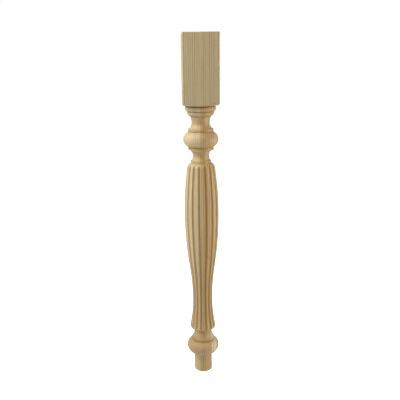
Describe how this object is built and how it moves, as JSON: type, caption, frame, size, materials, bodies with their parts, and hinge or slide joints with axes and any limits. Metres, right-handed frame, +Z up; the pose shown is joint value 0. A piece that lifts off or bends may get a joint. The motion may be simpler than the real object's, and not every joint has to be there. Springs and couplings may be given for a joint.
{
  "type": "furniture leg",
  "caption": "Turned wooden table leg with a square top block, beads, balls and a fluted vase-shaped shaft on a round peg toe.",
  "frame": {"origin": "centre of the toe's round end, on the floor", "axes": "+Z up the leg along its turning axis, with the faces of the square block along X and Y"},
  "size_m": [0.07, 0.07, 0.71],
  "materials": {
    "wood": "raw sanded pale hardwood, matt"
  },
  "bodies": {
    "root": {"turned_leg": "wood"}
  },
  "joints": []
}
